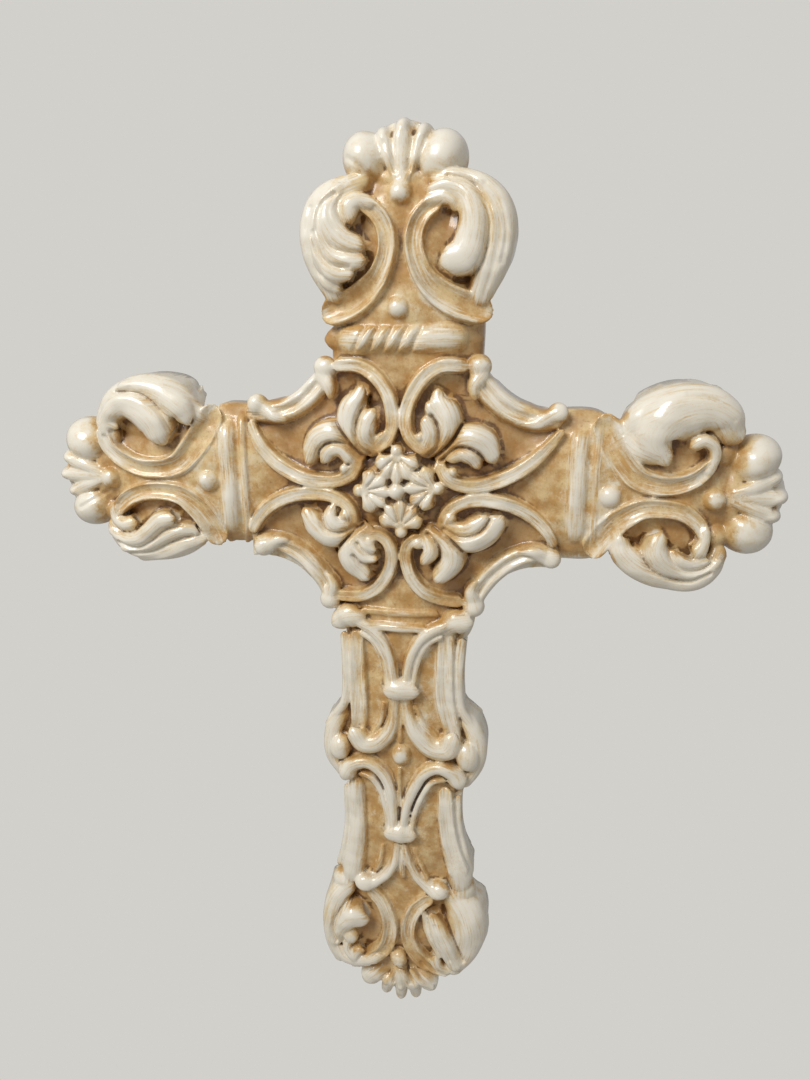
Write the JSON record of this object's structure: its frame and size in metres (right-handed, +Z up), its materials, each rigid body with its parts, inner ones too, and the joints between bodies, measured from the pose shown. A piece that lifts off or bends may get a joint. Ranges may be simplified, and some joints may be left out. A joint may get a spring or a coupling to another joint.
{
  "type": "ornate wall cross",
  "caption": "Wall cross cast in one piece in antiqued ivory, with scroll and acanthus relief, shell-tipped arms, a flat back and a blind hole to hang it by.",
  "frame": {"origin": "centre of the hanging hole's mouth, on the flat back, in the upper arm", "axes": "+Z up along the cross, the relief faces -Y and the flat back faces +Y"},
  "size_m": [0.352, 0.03, 0.457],
  "materials": {
    "casting": "cast resin painted ivory, with an ochre-brown antiquing glaze wiped into the recesses and a gloss varnish"
  },
  "bodies": {
    "root": {"cross": "casting"}
  },
  "joints": []
}
